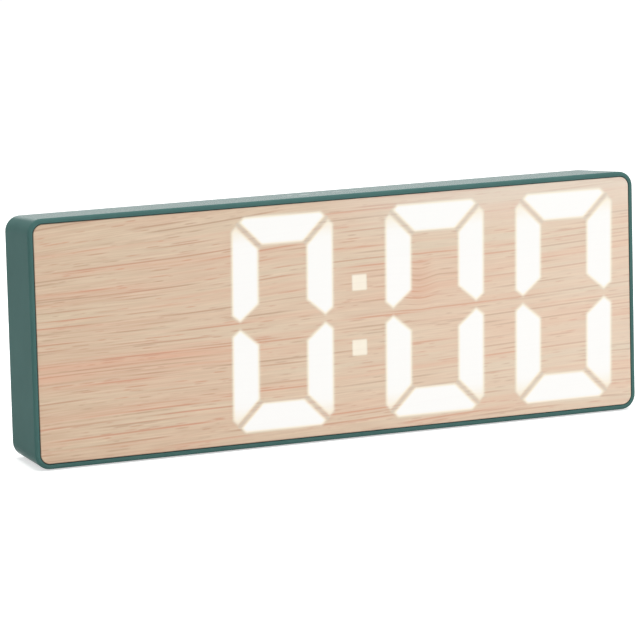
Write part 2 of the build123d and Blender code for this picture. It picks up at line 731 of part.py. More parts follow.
def chip_resistors():
    """Row of small resistors on the board."""
    x, z = board_place(RESISTOR_PLACE_SHARES)
    first = x - (RESISTOR_COUNT - 1) / 2 * RESISTOR_PITCH
    spots = [Pos(first + step * RESISTOR_PITCH, z) for step in range(RESISTOR_COUNT)]
    outline = Rectangle(RESISTOR_WIDTH, RESISTOR_LENGTH)
    return [slab(spot * outline, BOARD_BACK_Y, BOARD_BACK_Y + RESISTOR_HEIGHT) for spot in spots]


def buzzer():
    """Round buzzer with its sound hole towards the back wall."""
    place = board_place(BUZZER_PLACE_SHARES)
    top = BOARD_BACK_Y + BUZZER_HEIGHT
    hole = bar(*place, BUZZER_HOLE, top - BUZZER_HOLE_DEPTH, top + OVERRUN)
    return bar(*place, BUZZER_DIAMETER, BOARD_BACK_Y, top) - hole


def inner_top_z(y):
    """Height of the underside of the case's top at depth y."""
    return BASE_Z + HEIGHT - TOP_TAPER * taper_run(y) - CASE_WALL


def touch_plate():
    """Bent strip that lies along the underside of the top, with its foot on the board."""
    back_y = BOARD_BACK_Y + TOUCH_REACH
    start_z = inner_top_z(BOARD_BACK_Y) - TOUCH_GAP
    end_z = inner_top_z(back_y) - TOUCH_GAP
    bend_y = BOARD_BACK_Y + TOUCH_THICKNESS
    foot_z = start_z - STACK_GAP - TOUCH_FOOT
    points = [
        (BOARD_BACK_Y, foot_z),
        (bend_y, foot_z),
        (bend_y, inner_top_z(bend_y) - TOUCH_GAP - TOUCH_THICKNESS),
        (back_y, end_z - TOUCH_THICKNESS),
        (back_y, end_z),
        (BOARD_BACK_Y, start_z),
    ]
    profile = Plane.YZ.offset(-TOUCH_LENGTH / 2) * make_face(Polyline(*points, close=True))
    return extrude(profile, amount=TOUCH_LENGTH)


def battery_cells():
    """Round cells side by side, each turned end for end from the next."""
    cells = []
    left = BAY_LEFT_X + CONTACT_THICKNESS + CONTACT_PLAY
    for row, z in enumerate(CELL_ZS):
        nub_right = row % 2 == 0
        start = left + (LEAF_REACH if nub_right else BUMP_HEIGHT)
        end = start + CELL_LENGTH
        low = start + (0 if nub_right else CELL_NUB_LENGTH)
        high = end - (CELL_NUB_LENGTH if nub_right else 0)
        nub = rod(CELL_Y, z, CELL_NUB_DIAMETER, start, end)
        cells.append(nub + rod(CELL_Y, z, CELL_DIAMETER, low, high))
    return cells


def contact_plate(x_face, inward, rows):
    """Thin plate against one end wall of the bay, spanning the given cells."""
    low = CELL_ZS[rows[0]] - CONTACT_WIDTH / 2
    high = CELL_ZS[rows[-1]] + CONTACT_WIDTH / 2
    edges = sorted((x_face, x_face + inward * CONTACT_THICKNESS))
    return block(*edges, BAY_FLOOR_Y + CONTACT_PLAY, CELL_Y + CONTACT_WIDTH / 2, low, high)


def contact_bump(x_face, inward, row):
    """Raised round bump that meets a cell's nub."""
    edges = sorted((x_face, x_face + inward * (CONTACT_THICKNESS + BUMP_HEIGHT)))
    return rod(CELL_Y, CELL_ZS[row], BUMP_DIAMETER, *edges)


def contact_leaf(x_face, inward, row):
    """Bowed leaf spring that meets a cell's flat end."""
    x_plate = x_face + inward * CONTACT_THICKNESS
    half = LEAF_WIDTH / 2
    ends = [(x_plate, CELL_Y - half), (x_plate, CELL_Y + half)]
    crown = x_plate + inward * LEAF_REACH
    outer = ThreePointArc(ends[0], (crown, CELL_Y), ends[1])
    inner_ends = [(x_plate, CELL_Y - half + CONTACT_THICKNESS), (x_plate, CELL_Y + half - CONTACT_THICKNESS)]
    inner = ThreePointArc(inner_ends[1], (crown - inward * CONTACT_THICKNESS, CELL_Y), inner_ends[0])
    rim = outer + Line(ends[1], inner_ends[1]) + inner + Line(inner_ends[0], ends[0])
    strip = Plane.XY.offset(CELL_ZS[row] - half) * make_face(rim)
    return extrude(strip, amount=LEAF_WIDTH, dir=(0, 0, 1))


def contact_tail(x_face, inward, row):
    """Solder tail that runs from a contact through the bay's floor to the board."""
    edges = sorted((x_face, x_face + inward * CONTACT_THICKNESS))
    z = CELL_ZS[row]
    return block(*edges, BOARD_BACK_Y, CELL_Y, z - TAIL_WIDTH / 2, z + TAIL_WIDTH / 2)


def battery_contacts():
    """The two end contacts with tails, and the two that join neighbouring cells."""
    left = (BAY_LEFT_X, 1)
    right = (BAY_RIGHT_X, -1)
    return {
        "contact_minus": contact_plate(*left, [0]) + contact_leaf(*left, 0) + contact_tail(*left, 0),
        "contact_left": contact_plate(*left, [1, 2]) + contact_bump(*left, 1) + contact_leaf(*left, 2),
        "contact_right": contact_plate(*right, [0, 1]) + contact_bump(*right, 0) + contact_leaf(*right, 1),
        "contact_plus": contact_plate(*right, [2]) + contact_bump(*right, 2) + contact_tail(*right, 2),
    }


def build():
    """All pieces of the clock by name. A list is a group of separate solids."""
    blank = case_blank()
    panel_outline = case_outline(FRONT_Y, RIM + PANEL_GAP)
    pieces = {
        "case_shell": case_shell(blank),
        "battery_door": battery_door(blank),
        "wood_film": wood_film(panel_outline),
        "front_panel": front_panel(panel_outline),
        "diffuser": diffuser(),
        "reflector": reflector(),
        "main_board": main_board(),
        "segment_leds": segment_leds(),
        "colon_leds": colon_leds(),
        "board_screws": board_screws(),
        "clock_chip": flat_chip(CHIP_PLACE_SHARES, CHIP_SIZE, CHIP_LEAD_COUNT),
        "led_driver": flat_chip(DRIVER_PLACE_SHARES, DRIVER_SIZE, DRIVER_LEAD_COUNT),
        "crystal": crystal(),
        "capacitors": capacitors(),
        "chip_resistors": chip_resistors(),
        "buzzer": buzzer(),
        "switch_bodies": switch_bodies(),
        "usb_shell": usb_shell(),
        "usb_insert": usb_insert(),
        "touch_plate": touch_plate(),
        "battery_cells": battery_cells(),
        "left_foot": foot(-1),
        "right_foot": foot(1),
    }
    pieces.update(battery_contacts())
    for name, place in zip(("set", "up", "down"), button_places()):
        pieces[name + "_button"] = button(place)
        pieces[name + "_plunger"] = plunger(place)
    return pieces


def write_pieces(pieces):
    """Write one STEP file for each piece."""
    os.makedirs("parts", exist_ok=True)
    for name, piece in pieces.items():
        solids = piece if isinstance(piece, list) else [piece]
        group = Compound(label=name, children=[s for solid in solids for s in solid.solids()])
        export_step(group, f"parts/{name}.step")


if __name__ == "__main__":
    write_pieces(build())
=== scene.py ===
import math

import bmesh
import bpy
from mathutils import Matrix, Vector
from mathutils.geometry import delaunay_2d_cdt, intersect_point_line


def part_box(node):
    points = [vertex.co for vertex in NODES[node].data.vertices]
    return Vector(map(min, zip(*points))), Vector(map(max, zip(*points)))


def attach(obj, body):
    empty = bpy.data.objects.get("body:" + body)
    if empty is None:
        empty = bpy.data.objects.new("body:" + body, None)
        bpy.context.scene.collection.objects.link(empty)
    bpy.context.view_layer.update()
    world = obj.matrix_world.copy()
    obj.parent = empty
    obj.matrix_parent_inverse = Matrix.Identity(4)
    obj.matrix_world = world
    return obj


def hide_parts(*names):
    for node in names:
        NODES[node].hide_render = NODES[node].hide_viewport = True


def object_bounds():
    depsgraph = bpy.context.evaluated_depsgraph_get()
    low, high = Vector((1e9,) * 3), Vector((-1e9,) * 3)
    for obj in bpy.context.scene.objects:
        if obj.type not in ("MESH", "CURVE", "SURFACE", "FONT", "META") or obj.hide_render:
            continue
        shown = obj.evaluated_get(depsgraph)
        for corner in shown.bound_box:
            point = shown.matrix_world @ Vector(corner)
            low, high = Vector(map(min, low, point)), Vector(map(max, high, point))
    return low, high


# Looks of the digital desk clock: materials, the lit wood film, printed marks, a studio and a camera.
# Metres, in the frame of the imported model. X runs to the right seen from the front, Y to the back, Z up.

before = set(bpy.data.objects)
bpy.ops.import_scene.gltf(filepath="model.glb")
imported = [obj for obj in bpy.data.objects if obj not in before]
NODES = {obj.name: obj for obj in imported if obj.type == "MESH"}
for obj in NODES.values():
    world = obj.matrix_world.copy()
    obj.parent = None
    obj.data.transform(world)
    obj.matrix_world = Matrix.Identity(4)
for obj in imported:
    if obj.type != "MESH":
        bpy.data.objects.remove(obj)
CAD_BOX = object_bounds()
MM = 0.001

# Camera: turned about Z, tipped and rolled. Its offset to the front's middle runs right, down and forward
CAMERA_YAW = -23.957
CAMERA_PITCH = 7.623
CAMERA_ROLL = -4.956
CAMERA_OFFSET = Vector((5.303, -0.651, 1087.802)) * MM
FOCAL_PIXELS = 4482.8
IMAGE_PIXELS = 640
SENSOR_WIDTH = 36.0

# Light that comes through the film: millimetres outside a window's edge, and how bright it is there
GLOW_STEPS = ((-0.75, 1.0), (-0.35, 0.95), (-0.03, 0.7), (0.25, 0.27), (0.6, 0.0))
GLOW_SPACING = 2.5 * MM
CORNER_CUT = 0.25 * MM
CORNER_TURN = math.radians(30)
DOT_GLOW = 0.82
DOT_SPREAD = 0.5
# Painted grey halo: how close two lit segments lie for the wood between them to be painted greyer
HALO_REACH = 1.0 * MM
# Painted shadow in the gap along the film's left edge: its width, and how fast it fades toward the right
GAP_SHADOW_WIDTH = 0.22 * MM
GAP_SHADOW_FALL = 6
CREAM_GLOW = 0.8
LEVEL_BAND = 2.0 * MM
GLOW_STRENGTH = 0.865
TIP_START = 0.72
TIP_FADE = 0.48
# How far the painted halo turns the wood grey
HALO_SHARE = 0.55
GLOW_SHADE = 0.95
# How dark the painted gap shadow gets
GAP_SHADOW_SHARE = 0.85
DIGIT_COUNT = 4

# Reading the panel's outlines: how near two points are one, and how square and close a front face is
WELD = 0.001 * MM
FACING = 0.9
FACE_TOLERANCE = 0.01 * MM
MERGE = 0.0001 * MM

# Wood print: the two ends across which painted light makes it paler toward the right, how the grain climbs
# at the upper left, how far it wanders, a pink band, a painted sheen on the upper right corner and a knot
PAINTED_LIGHT_ENDS = (-80 * MM, 80 * MM)
GRAIN_LEAN = 0.03
GRAIN_CLIMB = 0.05
CLIMB_LEVELS = (26 * MM, 54 * MM)
CLIMB_END = -15 * MM
GRAIN_SWAY = 7.0 * MM
BAND_LEVEL = 24.5 * MM
BAND_HALF = 4.0 * MM
BAND_REACH = (-45 * MM, -18 * MM)
SHEEN_LEVELS = (48 * MM, 58 * MM)
SHEEN_REACH = (-10 * MM, 25 * MM)
SHEEN_SHARE = 0.4
KNOT_PLACE = (21 * MM, 0.0, 37 * MM)
KNOT_LIFT = 1.0 * MM
KNOT_SHARE = 0.25

# Lines in the wood print: height of a row, thickness and usual length of its line, share left out, strength
GRAIN_LINES = (
    {"row": 1.5 * MM, "thickness": 0.25 * MM, "length": 60 * MM, "left_out": 0.47, "strength": 0.7},
    {"row": 1.3 * MM, "thickness": 0.22 * MM, "length": 16 * MM, "left_out": 0.55, "strength": 0.58},
    {"row": 0.9 * MM, "thickness": 0.21 * MM, "length": 10 * MM, "left_out": 0.58, "strength": 0.56},
)
BAND_LINES = {"row": 0.8 * MM, "thickness": 0.2 * MM, "length": 60 * MM, "left_out": 0.42, "strength": 0.75}
# Painted light: how strong the lines still are at the right end, where the wood is painted paler
LINES_UNDER_PAINTED_LIGHT = 0.6
LINE_FADE = 0.12
ROW_STEP = 5.37

# Touch mark on the top: a row of short dashes, printed as the signs on the buttons are
DASH_COUNT = 5
DASH_LENGTH = 2.6 * MM
DASH_WIDTH = 0.5 * MM
DASH_PITCH = 4.4 * MM
DASH_ARC_STEPS = 8
PRINT_THICKNESS = 0.02 * MM

# Signs on the buttons: corners and turn of each, a dot and two triangles
SIGN_RADIUS = 1.1 * MM
SIGNS = {"set_button": (32, 0.0), "up_button": (3, math.pi / 2), "down_button": (3, -math.pi / 2)}

# Finishes: how far wear reaches from an edge, the depth of each relief, and the case's very low shine
WEAR_REACH = 0.5 * MM
MOULD_RELIEF = 0.03 * MM
CASE_RELIEF = 0.0025 * MM
SCRATCH_RELIEF = 0.01 * MM
RUBBER_RELIEF = 0.05 * MM
TRACK_RELIEF = 0.03 * MM
LINE_RELIEF = 0.02 * MM
CASE_INDEX = 1.028

# Features per metre of each pattern, along X, Y and Z
MOTTLE = (90, 90, 90)
SPARK = (3200, 3200, 3200)
TARNISH = (260, 260, 260)
SPECKLE = (2400, 2400, 2400)
DUST = (150, 150, 150)
TRACKS = (120, 120, 420)
MASK_MOTTLE = (300, 300, 300)
SCUFFS = (120, 900, 900)
SWAYS = (9, 0, 18)
KNOT_SPREAD = (170, 0, 110)
BANDS = (14, 0, 190)
FIBRES = (70, 0, 2400)
BLUSHES = (16, 0, 560)
SCRATCHES_ALONG = 150
SCRATCHES_ACROSS = 5200

# Battery sleeves: rows of cells, and where the pale band and the bare ends begin, as shares of the length
CELL_ROWS = 3
SLEEVE_BAND = 0.72
SLEEVE_ENDS = (0.06, 0.94)

# Studio
WHITE = (1.0, 1.0, 1.0, 1.0)
WORLD_LEVEL = 0.5
FLOOR_SIZE = 6.0
FLOOR_DROP = 0.01 * MM
FLOOR_ALBEDO = 0.84
FLOOR_LIFT = 0.58
LAMPS = {
    "key": {"place": (0.42, -0.5, 0.15), "size": 0.4, "watts": 1.2},
    "top": {"place": (0.0, -0.06, 0.8), "size": 0.6, "watts": 4.3},
    "back": {"place": (0.3, 0.8, 0.35), "size": 0.5, "watts": 1.2},
    "fill": {"place": (-0.75, -0.6, 0.25), "size": 0.6, "watts": 0.7},
}


def srgb(red, green, blue):
    """Colour for a shader socket from 0-255 display values."""
    linear = []
    for value in (red, green, blue):
        share = value / 255
        linear.append(share / 12.92 if share <= 0.04045 else ((share + 0.055) / 1.055) ** 2.4)
    return (*linear, 1.0)


def toned(colour, factor, lift=0.0):
    """Colour made darker or paler."""
    return tuple(min(1.0, factor * part + lift) for part in colour[:3]) + (1.0,)


def new_material(name):
    """Empty material, its node tree and its one surface shader."""
    material = bpy.data.materials.new(name)
    material.use_nodes = True
    tree = material.node_tree
    return material, tree, tree.nodes["Principled BSDF"]


def add(tree, kind, inputs=None, **settings):
    """New node with its settings. Inputs are values, or sockets to link from."""
    node = tree.nodes.new("ShaderNode" + kind)
    for key, value in settings.items():
        setattr(node, key, value)
    for key, value in (inputs or {}).items():
        link_or_set(tree, node.inputs[key], value)
    return node


def link_or_set(tree, socket, value):
    """Links a socket to another one, or gives it a plain value."""
    if isinstance(value, bpy.types.NodeSocket):
        tree.links.new(value, socket)
    else:
        socket.default_value = value


def place(tree):
    """Position on the piece, in metres."""
    return add(tree, "TexCoord").outputs["Object"]


def stretched(tree, vector, scale):
    """Position with each axis multiplied by its own number of features per metre."""
    return add(tree, "VectorMath", {0: vector, 1: scale}, operation="MULTIPLY").outputs["Vector"]


def noise(tree, vector, detail=2.0, roughness=0.5):
    """Soft noise from 0 to 1 with one feature for each unit of the vector."""
    inputs = {"Vector": vector, "Scale": 1.0, "Detail": detail, "Roughness": roughness}
    return add(tree, "TexNoise", inputs).outputs["Fac"]


def ranged(tree, value, low, high, to_low, to_high):
    """Value moved from one range to another, and held inside it."""
    inputs = {"Value": value, "From Min": low, "From Max": high, "To Min": to_low, "To Max": to_high}
    return add(tree, "MapRange", inputs).outputs["Result"]


def blended(tree, share, first, second):
    """Two colours mixed by a share."""
    node = add(tree, "Mix", data_type="RGBA")
    for socket, value in zip((node.inputs[0], node.inputs[6], node.inputs[7]), (share, first, second)):
        link_or_set(tree, socket, value)
    return node.outputs[2]


def figured(tree, operation, first, second=0.0):
    """One step of arithmetic."""
    return add(tree, "Math", {0: first, 1: second}, operation=operation).outputs["Value"]


def edge_mask(tree, reach):
    """One along sharp edges, falling to zero within reach of them."""
    rounded = add(tree, "Bevel", {"Radius": reach}, samples=4).outputs["Normal"]
    flat = add(tree, "NewGeometry").outputs["Normal"]
    turn = add(tree, "VectorMath", {0: rounded, 1: flat}, operation="DOT_PRODUCT").outputs["Value"]
    return ranged(tree, turn, 0.75, 0.99, 1.0, 0.0)


def bumped(tree, shader, height, depth, strength):
    """Small relief on the shader's normal."""
    inputs = {"Height": height, "Distance": depth, "Strength": strength}
    tree.links.new(add(tree, "Bump", inputs).outputs["Normal"], shader.inputs["Normal"])


def moulded(name, colour, roughness, wear=0.12, index=1.45, relief=MOULD_RELIEF):
    """Moulded plastic: fine spark texture, faint mottling, and paler wear along its edges."""
    material, tree, shader = new_material(name)
    shader.inputs["IOR"].default_value = index
    where = place(tree)
    mottle = noise(tree, stretched(tree, where, MOTTLE), detail=3.0)
    spark = noise(tree, stretched(tree, where, SPARK), detail=2.0)
    base = blended(tree, mottle, toned(colour, 0.93), toned(colour, 1.07, 0.004))
    patches = ranged(tree, mottle, 0.35, 0.65, 0.0, wear)
    rubbed = figured(tree, "MULTIPLY", edge_mask(tree, WEAR_REACH), patches)
    link_or_set(tree, shader.inputs["Base Color"], blended(tree, rubbed, base, toned(colour, 1.25, 0.02)))
    gloss = ranged(tree, spark, 0.3, 0.7, roughness - 0.05, roughness + 0.05)
    link_or_set(tree, shader.inputs["Roughness"], gloss)
    bumped(tree, shader, spark, relief, 0.25)
    return material


def metal(name, colour, roughness, along):
    """Bare metal with fine scratches along one axis and a little tarnish."""
    material, tree, shader = new_material(name)
    where = place(tree)
    fine = tuple(SCRATCHES_ALONG if axis == along else SCRATCHES_ACROSS for axis in range(3))
    scratches = noise(tree, stretched(tree, where, fine), detail=3.0)
    tarnish = noise(tree, stretched(tree, where, TARNISH), detail=4.0)
    dulled = ranged(tree, tarnish, 0.45, 0.75, 0.0, 0.7)
    link_or_set(tree, shader.inputs["Base Color"], blended(tree, dulled, colour, toned(colour, 0.72)))
    shader.inputs["Metallic"].default_value = 1.0
    gloss = ranged(tree, scratches, 0.3, 0.7, roughness - 0.07, roughness + 0.12)
    link_or_set(tree, shader.inputs["Roughness"], gloss)
    bumped(tree, shader, scratches, SCRATCH_RELIEF, 0.2)
    return material


def rubber(name, colour):
    """Matt rubber with a dusty speckle."""
    material, tree, shader = new_material(name)
    where = place(tree)
    speckle = noise(tree, stretched(tree, where, SPECKLE), detail=4.0, roughness=0.7)
    dust = noise(tree, stretched(tree, where, DUST), detail=3.0)
    dusted = ranged(tree, dust, 0.4, 0.7, 0.0, 0.6)
    link_or_set(tree, shader.inputs["Base Color"], blended(tree, dusted, colour, toned(colour, 1.6, 0.015)))
    link_or_set(tree, shader.inputs["Roughness"], ranged(tree, speckle, 0.3, 0.7, 0.72, 0.92))
    bumped(tree, shader, speckle, RUBBER_RELIEF, 0.4)
    return material


def circuit_board(name):
    """Green board: paler tracks under the mask in short straight runs."""
    material, tree, shader = new_material(name)
    where = place(tree)
    inputs = {"Vector": stretched(tree, where, TRACKS), "Scale": 1.0, "Mortar Size": 0.09,
              "Brick Width": 1.4, "Row Height": 1.0}
    tracks = add(tree, "TexBrick", inputs).outputs["Fac"]
    mottle = noise(tree, stretched(tree, where, MASK_MOTTLE), detail=3.0)
    mask = blended(tree, mottle, srgb(18, 72, 46), srgb(26, 88, 56))
    link_or_set(tree, shader.inputs["Base Color"], blended(tree, tracks, mask, srgb(58, 120, 72)))
    link_or_set(tree, shader.inputs["Roughness"], ranged(tree, mottle, 0.3, 0.7, 0.28, 0.42))
    bumped(tree, shader, tracks, TRACK_RELIEF, 0.3)
    return material


def cell_sleeve(name, low, high):
    """Grey battery sleeves with bare ends and a pale band at the plus end. The middle cell is reversed."""
    material, tree, shader = new_material(name)
    where = place(tree)
    axes = add(tree, "SeparateXYZ", {"Vector": where}).outputs
    aside = figured(tree, "ABSOLUTE", figured(tree, "SUBTRACT", axes["Z"], (low.z + high.z) / 2))
    reversed_cell = figured(tree, "LESS_THAN", aside, (high.z - low.z) / (2 * CELL_ROWS))
    share = ranged(tree, axes["X"], low.x, high.x, 0.0, 1.0)
    share = figured(tree, "ABSOLUTE", figured(tree, "SUBTRACT", reversed_cell, share))
    scuff = noise(tree, stretched(tree, where, SCUFFS), detail=3.0)
    body = blended(tree, scuff, srgb(74, 88, 104), srgb(92, 106, 122))
    band = blended(tree, scuff, srgb(196, 198, 194), srgb(214, 216, 212))
    in_band = figured(tree, "GREATER_THAN", share, SLEEVE_BAND)
    sleeve = blended(tree, in_band, body, band)
    past_low = figured(tree, "LESS_THAN", share, SLEEVE_ENDS[0])
    past_high = figured(tree, "GREATER_THAN", share, SLEEVE_ENDS[1])
    bare = figured(tree, "MAXIMUM", past_low, past_high)
    link_or_set(tree, shader.inputs["Base Color"], blended(tree, bare, sleeve, srgb(190, 190, 186)))
    link_or_set(tree, shader.inputs["Metallic"], bare)
    link_or_set(tree, shader.inputs["Roughness"], ranged(tree, scuff, 0.3, 0.7, 0.28, 0.45))
    bumped(tree, shader, scuff, SCRATCH_RELIEF, 0.2)
    return material


def grain_place(tree, where, axes, near):
    """Position in the print, moved so that what is level there follows the grain."""
    climb = ranged(tree, axes["Z"], *CLIMB_LEVELS, 0.0, GRAIN_CLIMB)
    climb = figured(tree, "MULTIPLY", climb, figured(tree, "MINIMUM", axes["X"], CLIMB_END))
    rise = figured(tree, "ADD", climb, figured(tree, "MULTIPLY", axes["X"], GRAIN_LEAN))
    sway = noise(tree, stretched(tree, where, SWAYS), detail=1.0)
    sway = figured(tree, "MULTIPLY", figured(tree, "SUBTRACT", sway, 0.5), GRAIN_SWAY)
    lift = figured(tree, "SUBTRACT", sway, rise)
    lift = figured(tree, "ADD", lift, figured(tree, "MULTIPLY", near, KNOT_LIFT))
    shift = add(tree, "CombineXYZ", {"Z": lift}).outputs["Vector"]
    return add(tree, "VectorMath", {0: where, 1: shift}, operation="ADD").outputs["Vector"]


def strokes(tree, along, level, row, thickness, length, left_out, strength):
    """Thin broken lines with the grain, one to a row, each at its own height there with its own breaks."""
    height = figured(tree, "DIVIDE", level, row)
    number = figured(tree, "FLOOR", height)
    chance = add(tree, "TexWhiteNoise", {"W": number}, noise_dimensions="1D").outputs["Value"]
    half = thickness / row / 2
    spot = ranged(tree, chance, 0.0, 1.0, 2 * half, 1 - 2 * half)
    off = figured(tree, "SUBTRACT", figured(tree, "FRACT", height), spot)
    line = ranged(tree, figured(tree, "ABSOLUTE", off), half, 2 * half, 1.0, 0.0)
    across = figured(tree, "DIVIDE", along, length / 2)
    upward = figured(tree, "MULTIPLY", number, ROW_STEP)
    run = add(tree, "CombineXYZ", {"X": across, "Y": upward}).outputs["Vector"]
    drawn = ranged(tree, noise(tree, run, detail=1.0), left_out, left_out + LINE_FADE, 0.0, strength)
    return figured(tree, "MULTIPLY", line, drawn)


def wood(name):
    """Printed light oak: pale bands, thin pinkish lines, a knot, and the digits' light through it. Painted
    light: paler toward the right, a painted sheen at the upper right, a painted grey halo between lit
    segments and a painted shadow in the gap along the left edge.
    """
    material, tree, shader = new_material(name)
    where = place(tree)
    axes = add(tree, "SeparateXYZ", {"Vector": where}).outputs
    knot = add(tree, "VectorMath", {0: where, 1: KNOT_PLACE}, operation="SUBTRACT").outputs["Vector"]
    spread = stretched(tree, knot, KNOT_SPREAD)
    far = add(tree, "VectorMath", {0: spread}, operation="LENGTH").outputs["Value"]
    inputs = {"Value": far, "To Min": 1.0, "To Max": 0.0}
    near = add(tree, "MapRange", inputs, interpolation_type="SMOOTHSTEP").outputs["Result"]
    grain = grain_place(tree, where, axes, near)
    level = add(tree, "SeparateXYZ", {"Vector": grain}).outputs["Z"]
    bands = noise(tree, stretched(tree, grain, BANDS), detail=2.0, roughness=0.55)
    fibre = noise(tree, stretched(tree, grain, FIBRES), detail=2.0)
    blush = noise(tree, stretched(tree, grain, BLUSHES), detail=2.0)
    # Painted light: both tones of the wood turn paler from left to right
    share = ranged(tree, axes["X"], *PAINTED_LIGHT_ENDS, 0.0, 1.0)
    early = blended(tree, share, srgb(208, 186, 158), srgb(219, 202, 181))
    late = blended(tree, share, srgb(204, 171, 143), srgb(222, 194, 171))
    base = blended(tree, ranged(tree, bands, 0.35, 0.65, 0.0, 1.0), late, early)
    base = blended(tree, ranged(tree, fibre, 0.4, 0.7, 0.0, 0.42), base, srgb(234, 213, 188))
    off = figured(tree, "ABSOLUTE", figured(tree, "SUBTRACT", level, BAND_LEVEL))
    in_band = figured(tree, "MULTIPLY", ranged(tree, off, 0.0, BAND_HALF, 1.0, 0.0),
                      ranged(tree, axes["X"], *BAND_REACH, 1.0, 0.0))
    pink = figured(tree, "ADD", ranged(tree, blush, 0.5, 0.75, 0.0, 0.45),
                   figured(tree, "MULTIPLY", in_band, ranged(tree, blush, 0.35, 0.6, 0.3, 0.9)))
    base = blended(tree, pink, base, srgb(217, 172, 145))
    lines = 0.0
    for numbers in GRAIN_LINES:
        lines = figured(tree, "MAXIMUM", lines, strokes(tree, axes["X"], level, **numbers))
    long_lines = figured(tree, "MULTIPLY", in_band, strokes(tree, axes["X"], level, **BAND_LINES))
    lines = figured(tree, "MAXIMUM", lines, long_lines)
    # Painted light: the lines weaken toward the right, where the wood is painted paler
    lines = figured(tree, "MULTIPLY", lines, ranged(tree, share, 0.3, 1.0, 1.0, LINES_UNDER_PAINTED_LIGHT))
    ink = blended(tree, ranged(tree, blush, 0.4, 0.6, 0.0, 1.0), srgb(182, 147, 121), srgb(203, 140, 113))
    base = blended(tree, lines, base, ink)
    base = blended(tree, figured(tree, "MULTIPLY", near, KNOT_SHARE), base, srgb(210, 153, 124))
    # Painted sheen: paler, greyer wood at the upper right corner
    pale = figured(tree, "MULTIPLY", ranged(tree, axes["Z"], *SHEEN_LEVELS, 0.0, SHEEN_SHARE),
                   ranged(tree, axes["X"], *SHEEN_REACH, 0.0, 1.0))
    base = blended(tree, pale, base, srgb(226, 217, 205))
    # Painted shadow in the gap along the film's left edge
    edge = add(tree, "Attribute", attribute_name="edge").outputs["Fac"]
    base = blended(tree, figured(tree, "MULTIPLY", edge, GAP_SHADOW_SHARE), base, srgb(58, 48, 38))
    # Painted grey halo in the gaps between lit segments that lie close together
    painted_halo = add(tree, "Attribute", attribute_name="painted_halo").outputs["Fac"]
    base = blended(tree, figured(tree, "MULTIPLY", painted_halo, HALO_SHARE), base, srgb(207, 199, 184))
    glow = add(tree, "Attribute", attribute_name="glow").outputs["Fac"]
    shade = figured(tree, "MULTIPLY", glow, GLOW_SHADE)
    link_or_set(tree, shader.inputs["Base Color"], blended(tree, shade, base, srgb(60, 56, 50)))
    creamy = ranged(tree, glow, 0.0, CREAM_GLOW, 0.0, 1.0)
    dim = blended(tree, creamy, srgb(232, 238, 224), srgb(255, 249, 230))
    full = blended(tree, ranged(tree, glow, CREAM_GLOW, 1.0, 0.0, 1.0), dim, srgb(252, 253, 252))
    link_or_set(tree, shader.inputs["Emission Color"], full)
    link_or_set(tree, shader.inputs["Emission Strength"], figured(tree, "MULTIPLY", glow, GLOW_STRENGTH))
    link_or_set(tree, shader.inputs["Roughness"], ranged(tree, bands, 0.3, 0.7, 0.42, 0.56))
    bumped(tree, shader, figured(tree, "SUBTRACT", 1.0, lines), LINE_RELIEF, 0.15)
    return material


def front_loops(node):
    """Closed outlines on a node's front face, each a list of (x, z): the outer edge and every window."""
    mesh = bmesh.new()
    mesh.from_mesh(NODES[node].data)
    bmesh.ops.remove_doubles(mesh, verts=mesh.verts, dist=WELD)
    front_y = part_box(node)[0].y
    mesh.normal_update()
    facing = [f for f in mesh.faces if f.normal.y < -FACING]
    ahead = {f for f in facing if f.calc_center_median().y - front_y < FACE_TOLERANCE}
    rims = [e for e in mesh.edges if sum(f in ahead for f in e.link_faces) == 1]
    neighbours = {}
    for edge in rims:
        first, second = edge.verts
        neighbours.setdefault(first, []).append(second)
        neighbours.setdefault(second, []).append(first)
    loops = []
    while neighbours:
        vertex = next(iter(neighbours))
        loop = []
        while vertex is not None:
            loop.append((vertex.co.x, vertex.co.z))
            onward = [v for v in neighbours.pop(vertex) if v in neighbours]
            vertex = onward[0] if onward else None
        loops.append(counterclockwise(loop))
    mesh.free()
    return sorted(loops, key=lambda loop: -abs(area(loop)))


def area(loop):
    """Signed area of an outline."""
    return sum(a[0] * b[1] - b[0] * a[1] for a, b in zip(loop, loop[1:] + loop[:1])) / 2


def counterclockwise(loop):
    """The same outline, always in the same turning sense."""
    return loop if area(loop) > 0 else loop[::-1]


def middle(loop):
    """Middle of an outline's box."""
    xs, zs = zip(*loop)
    return (min(xs) + max(xs)) / 2, (min(zs) + max(zs)) / 2


def moved_out(loop, distance):
    """Outline with every straight side moved out by a distance, or in where it is negative."""
    moved = []
    for before, corner, after in zip(loop[-1:] + loop[:-1], loop, loop[1:] + loop[:1]):
        first = (Vector(corner) - Vector(before)).normalized()
        second = (Vector(after) - Vector(corner)).normalized()
        outward = Vector((first.y + second.y, -first.x - second.x)).normalized()
        reach = distance / math.cos(first.angle(second) / 2)
        moved.append(tuple(Vector(corner) + outward * reach))
    return moved


def cornerless(loop):
    """The same outline with its sharp corners cut off."""
    points = []
    for before, corner, after in zip(loop[-1:] + loop[:-1], loop, loop[1:] + loop[:1]):
        ways = Vector(before) - Vector(corner), Vector(after) - Vector(corner)
        if math.pi - ways[0].angle(ways[1]) < CORNER_TURN:
            points.append(corner)
            continue
        for way in ways:
            points.append(tuple(Vector(corner) + way.normalized() * min(CORNER_CUT, way.length / 3)))
    return points


def divided(loop):
    """The same outline with more points along its long sides."""
    points = []
    for corner, after in zip(loop, loop[1:] + loop[:1]):
        start, end = Vector(corner), Vector(after)
        steps = math.ceil((end - start).length / GLOW_SPACING)
        points += [tuple(start.lerp(end, step / steps)) for step in range(steps)]
    return points


